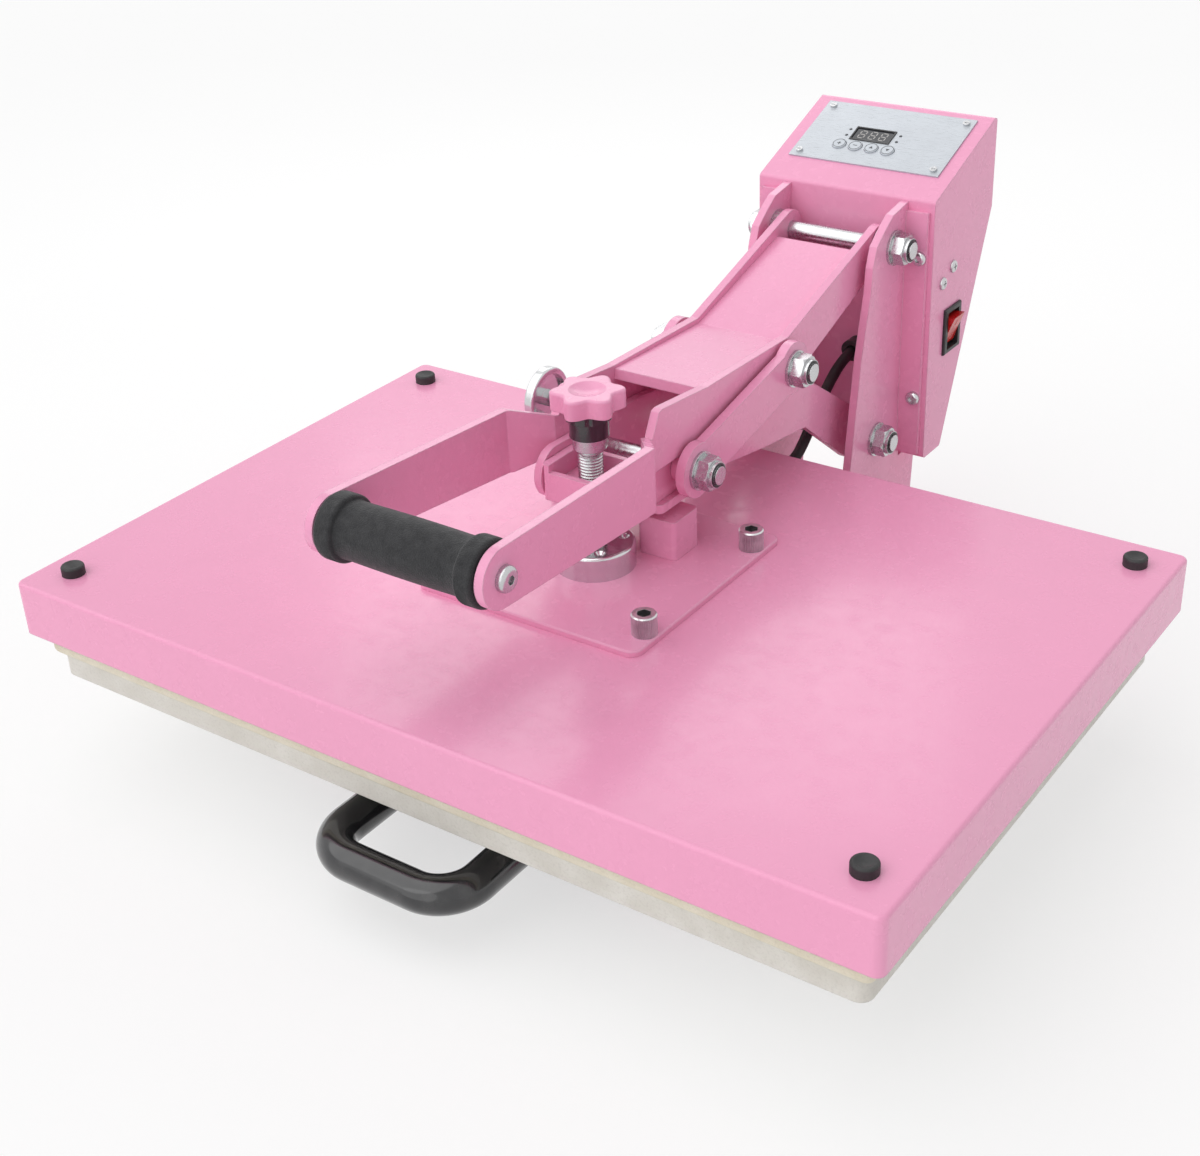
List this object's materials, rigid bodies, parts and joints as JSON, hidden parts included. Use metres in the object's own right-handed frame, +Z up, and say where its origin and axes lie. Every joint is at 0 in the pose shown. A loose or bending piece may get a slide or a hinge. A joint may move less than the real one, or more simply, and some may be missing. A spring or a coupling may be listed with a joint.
{
  "type": "flat heat press",
  "caption": "Clamshell flat heat press with a slide-out lower platen, toggle lever, pressure knob, heated upper platen and rear control box.",
  "frame": {"origin": "centre of the overall box on the surface the feet stand on", "axes": "+X to the operator's right, +Y from the handle side back to the control box, +Z up"},
  "size_m": [0.62, 0.6485, 0.3295],
  "materials": {
    "pink_coat": "glossy powder coat",
    "zinc_steel": "zinc plated",
    "black_coat": "satin powder coat",
    "bright_screws": "zinc plated",
    "polished_steel": "polished",
    "black_rubber": "matte",
    "black_plastic": "matte",
    "black_gloss": "glossy",
    "foam": "matte foam",
    "red_gloss": "glossy",
    "display_black": "glossy",
    "panel_silver": "satin",
    "key_grey": "satin",
    "board_green": "solder mask",
    "cast_aluminium": "cast and machined",
    "element_steel": "sheathed",
    "white_blanket": "fibre",
    "cream_silicone": "silicone foam",
    "cable_black": "sleeved"
  },
  "bodies": {
    "frame": {"base_frame": "pink_coat", "rubber_feet": "black_rubber", "slide_rails": "zinc_steel", "upright_right": "pink_coat", "upright_left": "pink_coat", "pivot_rods": "zinc_steel", "pivot_washers": "zinc_steel", "pivot_nuts": "zinc_steel", "control_box": "pink_coat", "box_back": "pink_coat", "mains_inlet": "black_plastic", "panel_plate": "panel_silver", "panel_screws": "bright_screws", "display_module": "display_black", "switch_bezel": "black_plastic", "box_screws": "bright_screws", "control_board": "board_green", "relay_module": "black_plastic", "box_gland": "black_plastic", "heater_cable": "cable_black"},
    "panel_key_1": {"panel_key_1": "key_grey"},
    "panel_key_2": {"panel_key_2": "key_grey"},
    "panel_key_3": {"panel_key_3": "key_grey"},
    "panel_key_4": {"panel_key_4": "key_grey"},
    "rocker": {"switch_rocker": "red_gloss"},
    "lever": {"lever_plate_right": "pink_coat", "lever_plate_left": "pink_coat", "lever_cover": "pink_coat", "handle_tube": "polished_steel", "foam_grip": "foam", "handle_bolts": "zinc_steel", "stop_disc": "polished_steel"},
    "link": {"link_bar_right": "pink_coat", "link_bar_left": "pink_coat", "link_bolts": "zinc_steel"},
    "arm": {"arm_plate_right": "pink_coat", "arm_plate_left": "pink_coat", "arm_cross_plate": "pink_coat", "arm_axle": "zinc_steel", "swivel_block": "pink_coat", "swivel_bolts": "zinc_steel"},
    "platen": {"platen_cover": "pink_coat", "heat_plate": "cast_aluminium", "heating_element": "element_steel", "insulation_blanket": "white_blanket", "corner_caps": "black_rubber", "mount_plate": "pink_coat", "mount_screws": "bright_screws", "pressure_disc": "polished_steel", "guide_posts": "pink_coat", "guide_pins": "polished_steel", "platen_gland": "black_plastic"},
    "screw": {"pressure_screw": "zinc_steel", "knob_hub": "black_gloss", "star_knob": "pink_coat"},
    "drawer": {"drawer_runners": "zinc_steel", "drawer_frame": "black_coat", "drawer_handle": "black_gloss", "lower_platen": "cast_aluminium", "silicone_pad": "cream_silicone"}
  },
  "joints": [
    {"name": "lever_swing", "type": "hinge", "parent": "frame", "child": "lever", "pos_m": [0, 0.20875, 0.264], "axis": [-1, 0, 0], "range_deg": [0, 95.77]},
    {"name": "arm_swing", "type": "hinge", "parent": "frame", "child": "arm", "pos_m": [0, 0.19075, 0.124], "axis": [-1, 0, 0], "range_deg": [0, 45.01], "deforming": ["heater_cable"]},
    {"name": "link_swing", "type": "hinge", "parent": "lever", "child": "link", "pos_m": [0, 0.07475, 0.222], "axis": [-1, 0, 0], "range_deg": [-114.6, 0]},
    {"name": "platen_lift", "type": "slide", "parent": "arm", "child": "platen", "axis": [0, 0, 1], "range_m": [0, 0.005]},
    {"name": "screw_turn", "type": "hinge", "parent": "platen", "child": "screw", "pos_m": [0, -0.09225, 0.2], "axis": [0, 0, 1], "range_deg": [0, 900]},
    {"name": "drawer_slide", "type": "slide", "parent": "frame", "child": "drawer", "axis": [0, -1, 0], "range_m": [0, 0.25]},
    {"name": "rocker_tilt", "type": "hinge", "parent": "frame", "child": "rocker", "pos_m": [0.0677, 0.26375, 0.189], "axis": [0, 1, 0], "range_deg": [0, 14]},
    {"name": "key_press_1", "type": "slide", "parent": "frame", "child": "panel_key_1", "axis": [0, 0.36, -0.933], "range_m": [0, 0.0006], "stiffness_N_per_m": 400},
    {"name": "key_press_2", "type": "slide", "parent": "frame", "child": "panel_key_2", "axis": [0, 0.36, -0.933], "range_m": [0, 0.0006], "stiffness_N_per_m": 400},
    {"name": "key_press_3", "type": "slide", "parent": "frame", "child": "panel_key_3", "axis": [0, 0.36, -0.933], "range_m": [0, 0.0006], "stiffness_N_per_m": 400},
    {"name": "key_press_4", "type": "slide", "parent": "frame", "child": "panel_key_4", "axis": [0, 0.36, -0.933], "range_m": [0, 0.0006], "stiffness_N_per_m": 400}
  ],
  "couplings": [
    {"joint": "arm_swing", "follows": "lever_swing", "ratio": 0.46987},
    {"joint": "link_swing", "follows": "lever_swing", "ratio": -1.1951},
    {"joint": "screw_turn", "follows": "platen_lift", "rad_per_m": 3141.5}
  ]
}
